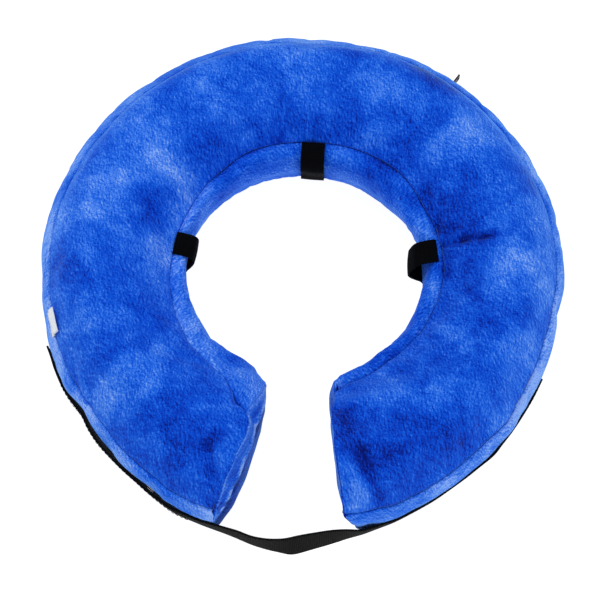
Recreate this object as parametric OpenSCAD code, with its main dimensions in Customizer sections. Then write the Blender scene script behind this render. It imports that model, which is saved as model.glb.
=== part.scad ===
// Inflatable protective ring collar for a dog or cat, lying on its back face.
// +Z is the neck axis, the gap between the ring's two ends faces -Y, and angles
// in the plan are counted anticlockwise from +X about the neck axis.

/* [Ring] */
// Radius of the ring at the widest part of its outer wall
ring_r = 170; // [169:0.5:172]
// Radius of the neck opening at the bulge of the neck band
neck_r = 75.5; // [75:0.5:77]
// Height of the crown of the front panel over the back face
crown_z = 80; // [76:1:86]
// Angle of the left end of the ring
left_end_deg = 251.5; // [249:0.5:253]
// Angle of the right end of the ring
right_end_deg = 281.5; // [280:0.5:282]

/* [Cover] */
// Thickness of the plush fabric
fabric_t = 1.8; // [1.4:0.1:2]
// Height of the crowned pad that closes each end
end_crown = 6; // [3:0.5:8]

/* [Bladder] */
// Thickness of the bladder's plastic film
film_t = 0.5; // [0.4:0.1:0.6]
// Distance from the cover's outer face to the bladder's outer face
bladder_inset = 5.8; // [5.6:0.1:6.4]

/* [Zipper] */
// Angle where the zipper chain starts, at its closed end
zip_start_deg = 53.8; // [50:0.2:60]
// Angle that the zipper chain covers
zip_sweep = 106; // [90:1:110]
// Height of the opening in the outer wall that the zipper closes
zip_slot_h = 10; // [9.6:0.1:11]
// Width of each row of coils
coil_w = 2.4; // [2:0.1:2.5]

/* [Closure strap] */
// Width of the closure webbing
strap_w = 25; // [20:1:25]
// Thickness of the closure webbing
strap_t = 1.4; // [1.2:0.1:1.8]
// Thickness of the hook tape and of the pile tape
tape_t = 1; // [1:0.1:1.4]
// Angle where the sewn part of the webbing ends on the right side
anchor_end_deg = 335.8; // [325:0.2:340]
// Angle where the free end of the webbing lies on the left side
free_end_deg = 193.6; // [190:0.2:204]

/* [Collar loops] */
// Width of the loop webbing
loop_w = 16; // [14:1:18]
// Thickness of the loop webbing
loop_t = 1.4; // [1.2:0.1:1.6]

/* [Label] */
// Length of the blank care label along the seam
label_len = 17; // [12:1:20]
// Height of the label over the seam
label_h = 8; // [6:0.5:10]

/* [Valve] */
// Angle of the valve in the bladder's outer wall
valve_deg = 105; // [90:1:120]
// Radius of the valve's stem
valve_r = 4.5; // [4:0.1:5]

/* [Hidden] */
$fn = 120;

plush = "royalblue";
webbing = [0.1, 0.1, 0.11];
film = [0.75, 0.8, 0.85, 0.6];

// Seams of the cover as [radius, height]
front_in = [neck_r + 10.5, 52];
front_out = [ring_r - 4, 50];
back_out = [ring_r - 4, 12];
back_in = [neck_r + 7.5, 12];
// Flat rest of the back face
rest_out = [ring_r - 24, 0];
rest_in = [neck_r + 25.5, 0];
// Points halfway along each panel of the cover
front_mid = [(ring_r + neck_r) / 2 + 4, crown_z];
outer_mid = [ring_r, 38];
neck_mid = [neck_r, 44];
rest_out_mid = [ring_r - 12.5, 3.4];
rest_in_mid = [neck_r + 14, 3.2];
tube_centre = [(ring_r + neck_r) / 2, 36];

zip_z = 31;
zip_tape_r = ring_r - 4.2;
zip_tape_t = 0.6;
zip_tape_reach = 6.6;
coil_t = 1.8;
coil_r = zip_tape_r + zip_tape_t + 0.03;
slider_deg = 4;
slider_half_h = 4.3;
slider_start_deg = zip_start_deg - 1.6;
tab_r = ring_r + 2.2;
tab_deg = slider_start_deg + slider_deg / 2;
strap_z = 20.5;
wall_gap = 0.15;
ring_sweep = 360 - right_end_deg + left_end_deg;
cover_start_deg = right_end_deg - 360;
bladder_end_clear_deg = 3;

// ---- curves ----

function unit(v) = v / norm(v);

// Quadratic curve from p to q that passes m halfway
function curve(p, m, q, n = 10) =
    let (c = 2 * m - (p + q) / 2)
    [for (i = [0:n]) let (t = i / n)
        (1 - t) * (1 - t) * p + 2 * t * (1 - t) * c + t * t * q];

function backward(pts) = [for (i = [len(pts) - 1:-1:0]) pts[i]];

// A seam point moved k inward along the mitre between two panels
function seam(p, k) = p + 1.41 * k * unit(tube_centre - p);

function front_curve(k) =
    curve(seam(front_in, k), front_mid - [0, k], seam(front_out, k), 16);
function outer_curve(k) =
    curve(seam(front_out, k), outer_mid - [k, 0], seam(back_out, k), 10);
function back_curve(k) = concat(
    curve(seam(back_out, k), rest_out_mid + k * [-0.35, 0.94], rest_out + [0, k], 6),
    curve(rest_in + [0, k], rest_in_mid + k * [0.35, 0.94], seam(back_in, k), 6));
function neck_curve(k) =
    curve(seam(back_in, k), neck_mid + [k, 0], seam(front_in, k), 12);

// Smooth path through the middles of the given points, from the first to the last
function path(p, n = 6) = let (m = len(p) - 1) [
    p[0],
    for (i = [1:m - 1]) let (
        a = i == 1 ? p[0] : (p[i - 1] + p[i]) / 2,
        b = i == m - 1 ? p[m] : (p[i] + p[i + 1]) / 2)
        for (j = [1:n]) let (t = j / n)
            (1 - t) * (1 - t) * a + 2 * t * (1 - t) * p[i] + t * t * b];

function side(pts, i) =
    let (d = unit(pts[min(i + 1, len(pts) - 1)] - pts[max(i - 1, 0)])) [-d[1], d[0]];

// Outline of a strip of thickness t along a path
function strip(pts, t) = concat(
    [for (i = [0:len(pts) - 1]) pts[i] + side(pts, i) * t / 2],
    [for (i = [len(pts) - 1:-1:0]) pts[i] - side(pts, i) * t / 2]);

// ---- shared shapes ----

module sweep(start, angle) {
    rotate([0, 0, start])
        rotate_extrude(angle = angle)
            children();
}

// Block between two radii and two heights, swept about the neck axis
module ring_block(start, angle, r0, r1, z0, z1) {
    sweep(start, angle)
        translate([r0, z0])
            square([r1 - r0, z1 - z0]);
}

module cover_sweep() {
    sweep(cover_start_deg, ring_sweep)
        children();
}

module bladder_sweep() {
    sweep(cover_start_deg + bladder_end_clear_deg, ring_sweep - 2 * bladder_end_clear_deg)
        children();
}

// Section of the whole ring, k inward of the cover's outer face
module ring_section(k) {
    polygon(concat(front_curve(k), outer_curve(k), back_curve(k), neck_curve(k)));
}

// Plate of a section that faces along the ring at an angle
module end_plate(deg, t, k) {
    rotate([0, 0, deg])
        rotate([90, 0, 0])
            linear_extrude(t, center = true)
                ring_section(k);
}

// Ribbon through stations of [angle, radius, lean of its top outward]
function ribbon_ring(s, z, w, t) = let (
    out = [cos(s[0]), sin(s[0])],
    c = [s[1] * out[0], s[1] * out[1], z],
    up = [out[0] * sin(s[2]), out[1] * sin(s[2]), cos(s[2])],
    face = [out[0] * cos(s[2]), out[1] * cos(s[2]), -sin(s[2])])
    [for (k = [[-1, -1], [1, -1], [1, 1], [-1, 1]]) c + k[0] * face * t / 2 + k[1] * up * w / 2];

module ribbon(stations, z, w, t) {
    n = len(stations);
    points = [for (s = stations) each ribbon_ring(s, z, w, t)];
    walls = [for (i = [0:n - 2]) for (j = [0:3]) let (
        a = 4 * i + j,
        b = 4 * i + (j + 1) % 4)
        each [[a, b + 4, b], [a, a + 4, b + 4]]];
    ends = [[0, 2, 3], [0, 1, 2], [4 * n - 4, 4 * n - 2, 4 * n - 3], [4 * n - 4, 4 * n - 1, 4 * n - 2]];
    polyhedron(points, concat(walls, ends), convexity = 4);
}

// ---- cover ----

module panel(outside, inside) {
    color(plush)
        cover_sweep()
            polygon(concat(outside, backward(inside)));
}

module front_panel() {
    panel(front_curve(0), front_curve(fabric_t));
}

module back_panel() {
    panel(back_curve(0), back_curve(fabric_t));
}

module neck_band() {
    panel(neck_curve(0), neck_curve(fabric_t));
}

module outer_band() {
    difference() {
        panel(outer_curve(0), outer_curve(fabric_t));
        ring_block(zip_start_deg - 3, zip_sweep + 6, ring_r - 12, ring_r + 5,
                   zip_z - zip_slot_h / 2, zip_z + zip_slot_h / 2);
    }
}

// Crowned pad on an end of the ring, built up in steps that get smaller
module end_panel(deg, way) {
    steps = [[0, 0.35], [7, 0.7], [15, 1]];
    color(plush)
        for (s = steps)
            rotate([0, 0, deg])
                translate([0, way * s[1] * end_crown / 2, 0])
                    end_plate(0, s[1] * end_crown, s[0]);
}

module left_end_panel() {
    end_panel(left_end_deg, 1);
}

module right_end_panel() {
    end_panel(right_end_deg, -1);
}

// ---- zipper ----

module zipper_tape(up) {
    z0 = up ? zip_z + 0.6 : zip_z - zip_tape_reach;
    color(plush)
        ring_block(zip_start_deg - 2.6, zip_sweep + 5.2, zip_tape_r, zip_tape_r + zip_tape_t,
                   z0, z0 + zip_tape_reach - 0.6);
}

module zipper_tape_upper() {
    zipper_tape(true);
}

module zipper_tape_lower() {
    zipper_tape(false);
}

module zipper_coil(up) {
    z0 = up ? zip_z + 0.05 : zip_z - coil_w - 0.05;
    color("navy")
        ring_block(zip_start_deg, zip_sweep, coil_r, coil_r + coil_t, z0, z0 + coil_w);
}

module zipper_coil_upper() {
    zipper_coil(true);
}

module zipper_coil_lower() {
    zipper_coil(false);
}

module zipper_top_stops() {
    color("navy")
        for (z0 = [zip_z - 3.4, zip_z + 1.4])
            ring_block(slider_start_deg - 1.2, 0.9, coil_r, coil_r + coil_t, z0, z0 + 2);
}

module zipper_bottom_stop() {
    color("navy")
        ring_block(zip_start_deg + zip_sweep + 0.1, 1, coil_r, coil_r + coil_t,
                   zip_z - 2.6, zip_z + 2.6);
}

// Body of the slider: two plates joined by the wedge, with flanges over the coils and
// an arch that holds the pull tab
module zipper_slider() {
    outer_r0 = zip_tape_r + zip_tape_t + coil_t + 0.4;
    outer_r1 = outer_r0 + 1.1;
    inner_r1 = zip_tape_r - 0.4;
    inner_r0 = inner_r1 - 1;
    flange_r0 = zip_tape_r + zip_tape_t + 0.3;
    color([0.12, 0.12, 0.13])
        union() {
            ring_block(slider_start_deg, slider_deg, outer_r0, outer_r1,
                       zip_z - slider_half_h, zip_z + slider_half_h);
            ring_block(slider_start_deg, slider_deg, inner_r0, inner_r1,
                       zip_z - slider_half_h, zip_z + slider_half_h);
            for (z0 = [zip_z - slider_half_h, zip_z + slider_half_h - 0.9])
                ring_block(slider_start_deg, slider_deg, flange_r0, outer_r0 + 0.1, z0, z0 + 0.9);
            ring_block(slider_start_deg + 0.2, 1, inner_r1 - 0.1, outer_r0 + 0.1,
                       zip_z - 0.5, zip_z + 0.5);
            difference() {
                ring_block(tab_deg - 1.3, 2.6, outer_r1 - 0.1, ring_r + 4.6, zip_z - 0.8, zip_z + 0.8);
                ring_block(tab_deg - 0.75, 1.5, ring_r + 0.9, ring_r + 3.5, zip_z - 1, zip_z + 1);
            }
        }
}

// Pull tab: a cross bar in the slider's arch, two arms and a slotted plate
module zipper_pull_tab() {
    arm_len = 5.2;
    tip_len = 10;
    color([0.08, 0.08, 0.09])
        rotate([0, 0, tab_deg])
            translate([tab_r, 0, zip_z])
                union() {
                    cylinder(h = 6.4, r = 0.6, center = true);
                    for (z = [-2.2, 2.2])
                        translate([arm_len / 2, 0, z])
                            cube([arm_len, 1.1, 2], center = true);
                    difference() {
                        translate([arm_len - 0.2, -0.55, -3.2])
                            cube([tip_len - arm_len, 1.1, 6.4]);
                        translate([arm_len + 1.2, -1, -1.5])
                            cube([2.4, 2, 3]);
                    }
                }
}

// ---- collar loops ----

// Loop of webbing from the front seam to the back seam, standing off the neck band
module collar_loop(deg, stand_off) {
    r = neck_r - stand_off;
    route = [front_in + [-0.9, 1.5], [r + 8, front_in[1] + 3], [r - 1.5, 52], [r - 0.5, 34],
             [r + 1, 18], back_in + [-1.5, -0.3]];
    color(webbing)
        rotate([0, 0, deg])
            rotate([90, 0, 0])
                linear_extrude(loop_w, center = true)
                    polygon(strip(path(route), loop_t));
}

module collar_loop_left() {
    collar_loop(169.5, 9.6);
}

module collar_loop_top() {
    collar_loop(85, 8.2);
}

module collar_loop_right() {
    collar_loop(7.5, 9);
}

// ---- label ----

module care_label() {
    lean = 22;
    color("white")
        rotate([0, 0, 193.5])
            translate([front_out[0] + 0.35, 0, front_out[1] + 0.75])
                rotate([0, -lean, 0])
                    translate([-0.4, -label_len / 2, 0])
                        cube([0.8, label_len, label_h]);
}

// ---- closure strap ----

// Radius at the strap's middle height of the leaning line that touches the outer wall
function wall_face_r(lean) = max([for (p = outer_curve(0)) p[0] - tan(lean) * (p[1] - strap_z)]);

// Middle radius of a leaning layer whose inner face is this far off that line
function layer_r(lean, off, t) = wall_face_r(lean) + wall_gap + off + t / 2;

anchor_lean = 12;
left_lean = 6;
hinge_deg = 282.5;
hinge_r = ring_r + 1.9;
hinge_pin_r = strap_t / 2 + 0.15;
hook_off = tape_t + 0.25;
strap_off = hook_off + tape_t + 0.2;
strap_r = layer_r(left_lean, strap_off, strap_t);
// The webbing across the gap, as [angle, radius, lean]
gap_route = [[hinge_deg, hinge_r, 0], [281.3, ring_r + 1.5, 4], [279.8, ring_r + 1.4, 2],
             [277.5, ring_r + 1.6, -2],
             [274.8, ring_r + 2.3, -6], [271.5, ring_r + 4, -9], [268.5, ring_r + 6.2, -10],
             [265.5, ring_r + 7.1, -6], [262.5, ring_r + 7, 0], [259.5, ring_r + 6.1, 3],
             [256.5, ring_r + 4, 3], [254, ring_r + 2.7, 4], [252, ring_r + 2.1, left_lean]];
left_steps = 16;
left_start_deg = 250;

module closure_strap() {
    left_route = [for (i = [0:left_steps])
        [left_start_deg + (free_end_deg - left_start_deg) * i / left_steps, strap_r, left_lean]];
    color(webbing)
        union() {
            ribbon(concat(gap_route, left_route), strap_z, strap_w, strap_t);
            rotate([0, 0, hinge_deg])
                translate([hinge_r, 0, strap_z])
                    cylinder(h = strap_w - 0.1, r = hinge_pin_r, center = true);
        }
}

module strap_anchor() {
    steps = 14;
    run = [287, anchor_end_deg];
    route = [for (i = [0:steps]) [run[1] + (run[0] - run[1]) * i / steps,
        layer_r(anchor_lean, 0, strap_t), anchor_lean]];
    color(webbing)
        ribbon(concat(route, [[285.3, ring_r + 0.5, 7], [283.4, hinge_r - 0.3, 2]]),
               strap_z, strap_w, strap_t);
}

module wall_tape(from, to, off, w) {
    steps = 12;
    ribbon([for (i = [0:steps]) [from + (to - from) * i / steps,
        layer_r(left_lean, off, tape_t), left_lean]], strap_z, w, tape_t);
}

module strap_hook_tape() {
    color([0.07, 0.07, 0.08])
        wall_tape(246, 204, hook_off, strap_w - 2);
}

module wall_pile_tape() {
    color([0.07, 0.07, 0.08])
        wall_tape(249, 200, 0, strap_w - 1);
}

// ---- bladder ----

module bladder_film(outside, inside) {
    color(film)
        bladder_sweep()
            polygon(concat(outside, backward(inside)));
}

module bladder_front_film() {
    bladder_film(front_curve(bladder_inset), front_curve(bladder_inset + film_t));
}

module bladder_back_film() {
    bladder_film(back_curve(bladder_inset), back_curve(bladder_inset + film_t));
}

module bladder_inner_wall() {
    bladder_film(neck_curve(bladder_inset), neck_curve(bladder_inset + film_t));
}

module bladder_outer_wall() {
    difference() {
        bladder_film(outer_curve(bladder_inset), outer_curve(bladder_inset + film_t));
        at_valve()
            cylinder(h = 40, r = pocket_r, center = true);
    }
}

module bladder_end_films() {
    color(film) {
        rotate([0, 0, left_end_deg - bladder_end_clear_deg])
            translate([0, film_t / 2, 0])
                end_plate(0, film_t, bladder_inset);
        rotate([0, 0, right_end_deg + bladder_end_clear_deg])
            translate([0, -film_t / 2, 0])
                end_plate(0, film_t, bladder_inset);
    }
}

// ---- valve ----

pocket_r = 11;
pocket_floor_r = ring_r - 22;
pocket_mouth_r = ring_r - 6.6;
stem_len = 7;
plug_len = 4;
cap_head = 2;

// Frame of the valve: +Z along the valve's own axis, outward from the neck axis
module at_valve() {
    rotate([0, 0, valve_deg])
        translate([pocket_floor_r, 0, zip_z])
            rotate([0, 90, 0])
                children();
}

// Cup welded into the bladder's wall, so that the closed valve lies below the film
module valve_base() {
    color(film)
        at_valve()
            difference() {
                cylinder(h = pocket_mouth_r - pocket_floor_r, r = pocket_r - 0.1);
                translate([0, 0, 0.8])
                    cylinder(h = 30, r = pocket_r - 0.9);
                translate([0, 0, -1])
                    cylinder(h = 3, r = valve_r - 1.2);
            }
}

module valve_stem() {
    color([0.85, 0.88, 0.9])
        at_valve()
            translate([0, 0, 0.8])
                difference() {
                    cylinder(h = stem_len, r = valve_r);
                    translate([0, 0, -1])
                        cylinder(h = stem_len + 2, r = valve_r - 1.2);
                }
}

// Push-in plug with a wide head
module valve_cap() {
    color([0.85, 0.88, 0.9])
        at_valve()
            translate([0, 0, 0.8 + stem_len + 0.05])
                union() {
                    cylinder(h = cap_head, r = valve_r + 1.2);
                    translate([0, 0, -plug_len])
                        cylinder(h = plug_len + 0.5, r = valve_r - 1.25);
                }
}

front_panel();
back_panel();
neck_band();
outer_band();
left_end_panel();
right_end_panel();
zipper_tape_upper();
zipper_tape_lower();
zipper_coil_upper();
zipper_coil_lower();
zipper_top_stops();
zipper_bottom_stop();
zipper_slider();
zipper_pull_tab();
collar_loop_left();
collar_loop_top();
collar_loop_right();
care_label();
strap_anchor();
closure_strap();
strap_hook_tape();
wall_pile_tape();
bladder_front_film();
bladder_back_film();
bladder_outer_wall();
bladder_inner_wall();
bladder_end_films();
valve_base();
valve_stem();
valve_cap();
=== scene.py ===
"""Looks of the inflatable ring collar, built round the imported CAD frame. Metres throughout."""
import math

import bpy
import numpy as np
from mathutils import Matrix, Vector, noise


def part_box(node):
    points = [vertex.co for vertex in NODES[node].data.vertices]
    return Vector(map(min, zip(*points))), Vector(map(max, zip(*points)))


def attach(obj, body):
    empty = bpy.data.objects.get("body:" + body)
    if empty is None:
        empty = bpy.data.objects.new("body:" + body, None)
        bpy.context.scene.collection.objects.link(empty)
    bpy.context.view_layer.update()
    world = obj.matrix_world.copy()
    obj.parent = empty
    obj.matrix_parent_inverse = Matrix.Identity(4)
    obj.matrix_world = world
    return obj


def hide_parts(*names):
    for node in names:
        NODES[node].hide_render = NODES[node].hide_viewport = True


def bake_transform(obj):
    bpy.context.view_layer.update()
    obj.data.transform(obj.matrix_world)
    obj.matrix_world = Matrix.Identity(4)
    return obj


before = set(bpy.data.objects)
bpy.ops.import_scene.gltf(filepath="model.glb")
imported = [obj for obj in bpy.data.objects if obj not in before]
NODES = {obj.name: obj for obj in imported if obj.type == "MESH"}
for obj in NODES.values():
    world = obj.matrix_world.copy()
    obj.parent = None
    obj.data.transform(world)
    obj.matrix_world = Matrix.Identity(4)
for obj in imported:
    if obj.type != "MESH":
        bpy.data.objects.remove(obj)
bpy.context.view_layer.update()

MM = 0.001
UP = np.array([0, 0, 1.0])

# ---- driving dimensions, as in the CAD source ----

RING_R = round(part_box("outer_band")[1].x, 3)
CROWN_Z = round(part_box("front_panel")[1].z, 3)
NECK_R = 75.5 * MM
LEFT_END = 251.5
RIGHT_END = 281.5 - 360
FRONT_IN = np.array([NECK_R + 10.5 * MM, 52 * MM])
FRONT_OUT = np.array([RING_R - 4 * MM, 50 * MM])
BACK_OUT = np.array([RING_R - 4 * MM, 12 * MM])
BACK_IN = np.array([NECK_R + 7.5 * MM, 12 * MM])
REST_OUT = np.array([RING_R - 24 * MM, 0.0])
REST_IN = np.array([NECK_R + 25.5 * MM, 0.0])
FRONT_MID = np.array([(RING_R + NECK_R) / 2 + 4 * MM, CROWN_Z])
OUTER_MID = np.array([RING_R, 38 * MM])
NECK_MID = np.array([NECK_R, 44 * MM])
TUBE_MID = np.array([(RING_R + NECK_R) / 2, 36 * MM])
FABRIC = 1.5 * MM
FILM_T = 0.4 * MM
ZIP_Z = 31 * MM
STRAP_Z = 20.5 * MM


# ---- small helpers ----

def unit(v):
    return v / np.maximum(np.linalg.norm(v, axis=-1, keepdims=True), 1e-12)


def smooth(x, a, b):
    t = np.clip((np.asarray(x, float) - a) / (b - a), 0, 1)
    return t * t * (3 - 2 * t)


def bell(x, width=1.0):
    """1 where x is 0, falling smoothly to nothing within a few widths."""
    return np.exp(-(x / width) ** 2)


def radius_of(points):
    """Distance of each point from the ring's axis."""
    return np.linalg.norm(points[..., :2], axis=-1)


def angle_of(points):
    """Angle of each point round the ring's axis, in degrees and without jumps."""
    return np.degrees(np.unwrap(np.arctan2(points[..., 1], points[..., 0])))


def noise_at(points, size, seed=0.0):
    """Smooth noise of about -1 to 1 at each point, with features of this size in metres."""
    shift = Vector((seed * 7.31, seed * 3.17, seed * 5.77))
    values = [noise.noise(Vector(p) / size + shift) for p in points.reshape(-1, 3)]
    return np.array(values).reshape(points.shape[:-1])


def linked(name, data):
    """New object in the scene with this data."""
    obj = bpy.data.objects.new(name, data)
    bpy.context.scene.collection.objects.link(obj)
    return obj


def new_mesh(name, points, faces, uvs=None, **fields):
    """Mesh object with its cloth coordinates and any named values at its points."""
    mesh = bpy.data.meshes.new(name)
    verts = [tuple(v) for v in np.asarray(points, float).reshape(-1, 3)]
    mesh.from_pydata(verts, [], [tuple(map(int, f)) for f in faces])
    mesh.validate()
    if uvs is not None:
        layer = mesh.uv_layers.new(name="cloth")
        index = np.zeros(len(mesh.loops), np.int32)
        mesh.loops.foreach_get("vertex_index", index)
        layer.data.foreach_set("uv", np.asarray(uvs, np.float32).reshape(-1, 2)[index].ravel())
    for key, values in fields.items():
        field = mesh.attributes.new(key, "FLOAT", "POINT")
        field.data.foreach_set("value", np.asarray(values, np.float32).ravel())
    mesh.shade_smooth()
    return linked(name, mesh)


def thicken(obj, thickness, levels=1, offset=-1, bevel=0.0):
    """Rounds a sheet, thickens it on its inner side or about its middle, and bevels its edges."""
    if levels:
        sub = obj.modifiers.new("round", "SUBSURF")
        sub.levels = sub.render_levels = levels
    solid = obj.modifiers.new("thick", "SOLIDIFY")
    solid.thickness, solid.offset = thickness, offset
    if bevel:
        edge = obj.modifiers.new("edge", "BEVEL")
        edge.width, edge.segments, edge.angle_limit = bevel, 2, math.radians(50)
    graph = bpy.context.evaluated_depsgraph_get()
    mesh = bpy.data.meshes.new_from_object(obj.evaluated_get(graph), depsgraph=graph)
    obj.modifiers.clear()
    old = obj.data
    obj.data = mesh
    bpy.data.meshes.remove(old)
    return obj


def grid_faces(grid, flip=False):
    """Faces between the rows and columns of a grid of points."""
    rows, cols = grid.shape[:2]
    i, j = np.meshgrid(np.arange(rows - 1), np.arange(cols - 1), indexing="ij")
    a = i * cols + j
    quads = np.stack([a, a + cols, a + cols + 1, a + 1], -1).reshape(-1, 4)
    return quads[:, ::-1] if flip else quads


def cap_faces(loop, start, rows, flip):
    """Faces from a closed loop of points through the closed rows from start on to one last point."""
    cols = len(loop)
    blocks = []
    for k in range(rows):
        row = start + k * cols + np.arange(cols)
        blocks.append(np.stack([loop, np.roll(loop, -1), np.roll(row, -1), row], -1))
        loop = row
    blocks.append(np.stack([loop, np.roll(loop, -1), np.full(cols, start + rows * cols)], -1))
    return [tuple(f[::-1] if flip else f) for block in blocks for f in block]


def together(*values):
    """Values of different shapes, spread out and stacked along a last axis."""
    return np.stack(np.broadcast_arrays(*values), -1)


def polar(deg, r, z):
    return together(r * np.cos(np.radians(deg)), r * np.sin(np.radians(deg)), z)


def keyed(x, keys):
    """Smooth value at x through (place, value) keys."""
    at, values = np.array(keys, float).T
    x = np.clip(x, at[0], at[-1])
    k = np.clip(np.searchsorted(at, x, side="right") - 1, 0, len(at) - 2)
    return values[k] + (values[k + 1] - values[k]) * smooth((x - at[k]) / (at[k + 1] - at[k]), 0, 1)


# ---- shader building blocks ----

class Nodes:
    """Short names for building one material's nodes."""

    def __init__(self, name):
        self.mat = bpy.data.materials.new(name)
        self.mat.use_nodes = True
        self.tree = self.mat.node_tree
        self.tree.nodes.clear()

    def node(self, kind, **values):
        n = self.tree.nodes.new(kind)
        for key, value in values.items():
            if key in n.inputs:
                self.put(n.inputs[key], value)
            else:
                setattr(n, key, value)
        return n

    def put(self, socket, value):
        if isinstance(value, bpy.types.NodeSocket):
            self.tree.links.new(value, socket)
        else:
            socket.default_value = value

    def math(self, op, a, b=0.0, clamp=False):
        n = self.node("ShaderNodeMath", operation=op, use_clamp=clamp)
        self.put(n.inputs[0], a)
        self.put(n.inputs[1], b)
        return n.outputs[0]

    def total(self, *layers):
        """Sum of (layer, gain) pairs."""
        value = 0.0
        for layer, gain in layers:
            value = self.math("ADD", self.math("MULTIPLY", layer, gain), value)
        return value

    def cloth(self):
        return self.node("ShaderNodeUVMap", uv_map="cloth").outputs[0]

    def field(self, name):
        return self.node("ShaderNodeAttribute", attribute_name=name).outputs["Fac"]

    def noise(self, vector, scale, detail=2.0, rough=0.5, distort=0.0, output=0):
        return self.node("ShaderNodeTexNoise", Vector=vector, Scale=scale, Detail=detail, Roughness=rough,
                         Distortion=distort).outputs[output]

    def wave(self, vector, period, direction, distort=0.0, detail_scale=1.0):
        return self.node("ShaderNodeTexWave", Vector=vector, Scale=math.pi / period / 10,
                         Distortion=distort, bands_direction=direction,
                         **{"Detail Scale": detail_scale}).outputs["Fac"]

    def span(self, value, low, high, to_low, to_high):
        return self.node("ShaderNodeMapRange", interpolation_type="SMOOTHSTEP", Value=value, **{
            "From Min": low, "From Max": high, "To Min": to_low, "To Max": to_high}).outputs[0]

    def ramp(self, value, stops):
        n = self.node("ShaderNodeValToRGB", Fac=value)
        n.color_ramp.interpolation = "EASE"
        while len(n.color_ramp.elements) < len(stops):
            n.color_ramp.elements.new(0.5)
        for e, (place, colour) in zip(n.color_ramp.elements, stops):
            e.position = place
            e.color = (*colour, 1)
        return n.outputs[0]

    def bump(self, height, distance, strength, normal=None):
        n = self.node("ShaderNodeBump", Height=height, Distance=distance, Strength=strength)
        if normal is not None:
            self.put(n.inputs["Normal"], normal)
        return n.outputs[0]

    def finish(self, roughness, specular=0.5, sheen=0.0, **values):
        shader = self.node("ShaderNodeBsdfPrincipled", Roughness=roughness, **{
            "Specular IOR Level": specular, "Sheen Weight": sheen}, **values)
        out = self.node("ShaderNodeOutputMaterial")
        self.put(out.inputs["Surface"], shader.outputs[0])
        return self.mat


def colour(r, g, b):
    """Linear colour from the usual 0 to 255 values."""
    return tuple((c / 255 / 12.92) if c <= 10 else ((c / 255 + 0.055) / 1.055) ** 2.4 for c in (r, g, b))


PLUSH_TONES = [(0.0, colour(0, 16, 104)), (0.16, colour(0, 34, 146)), (0.28, colour(0, 56, 186)),
               (0.42, colour(2, 74, 206)), (0.57, colour(24, 96, 222)), (0.74, colour(66, 124, 233)),
               (1.0, colour(136, 174, 247))]


def plush(name, nap_turn, tone=0.0):
    """Short-pile plush: brushed light and dark clouds, curly streaks of pile with painted emboss shade
    beside them, and a velvet sheen.
    """
    m = Nodes(name)
    uv = m.cloth()
    wander = m.node("ShaderNodeVectorMath", operation="SCALE", Scale=3.0,
                    Vector=m.noise(uv, 60.0, output="Color")).outputs[0]
    nap = m.node("ShaderNodeMapping", Vector=uv, Scale=(720, 460, 1), Rotation=(0, 0, nap_turn)).outputs[0]
    bent = m.node("ShaderNodeVectorMath", operation="ADD", Vector=nap)
    m.put(bent.inputs[1], wander)
    beside = m.node("ShaderNodeVectorMath", operation="ADD", Vector=bent.outputs[0])
    beside.inputs[1].default_value = (0.45, 0.3, 0)
    streak = m.noise(bent.outputs[0], 1.0, 2, 0.6)
    # Painted emboss shade: the streaks less a copy shifted sideways, lighter and darker as if lit from one
    # side
    streak_emboss_shade = m.math("SUBTRACT", streak, m.noise(beside.outputs[0], 1.0, 2, 0.6))
    broad = m.noise(uv, 11, 3, 0.5, 0.4)
    cloud = m.noise(uv, 27, 3, 0.5, 0.3)
    edge = m.noise(uv, 150, 3, 0.6, 0.8)
    layers = [(broad, 1.05), (cloud, 1.35), (edge, 0.65), (m.noise(uv, 900, 2, 0.6), 0.68)]
    level = 0.52 + tone - 0.5 * sum(gain for _, gain in layers)
    # The seam field paints shade on the turned-in edges in the seams; the tone field adds pile clouds with
    # painted light and shade
    value = m.total(*layers, (streak_emboss_shade, 0.95), (m.field("seam"), -0.8), (m.field("tone"), 1.0), (level, 1.0))
    value = m.math("ADD", m.math("MULTIPLY", value, 0.8), 0.08, True)
    normal = m.bump(m.total((streak, 0.8), (edge, 0.4)), 1.0 * MM, 0.55, m.bump(cloud, 2.5 * MM, 0.3))
    return m.finish(0.92, 0.1, 0.7, **{
        "Base Color": m.ramp(value, PLUSH_TONES), "Sheen Roughness": 0.36,
        "Sheen Tint": (*colour(112, 176, 255), 1), "Normal": normal})


def webbing(name, dark, light, rib=1.15 * MM):
    """Woven tape: ribs across it, with a fine weave along its edges."""
    m = Nodes(name)
    uv = m.cloth()
    fuzz = m.noise(uv, 1400, 3, 0.6)
    weave = m.total((m.wave(uv, rib, "X", 0.6, 60), 0.6), (m.wave(uv, 0.7 * MM, "Y", 0.8), 0.25))
    value = m.total((weave, 0.6), (fuzz, 0.3), (m.noise(uv, 45, 3, 0.6), 0.25))
    return m.finish(0.85, 0.05, **{
        "Base Color": m.ramp(value, [(0.2, dark), (0.9, light)]),
        "Normal": m.bump(weave, 0.35 * MM, 0.8, m.bump(fuzz, 0.1 * MM, 0.5))})


def tape_pile(name, dark, light, size, depth):
    """Hook tape or pile tape: a dense field of small hooks or loops."""
    m = Nodes(name)
    uv = m.cloth()
    dots = m.node("ShaderNodeTexVoronoi", Vector=uv, Scale=1 / size).outputs["Distance"]
    value = m.total((dots, 0.7), (m.noise(uv, 900, 4, 0.7), 0.4))
    return m.finish(0.85, 0.2, 0.2, **{
        "Base Color": m.ramp(value, [(0.2, light), (0.8, dark)]), "Normal": m.bump(value, depth, 0.9)})


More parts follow.
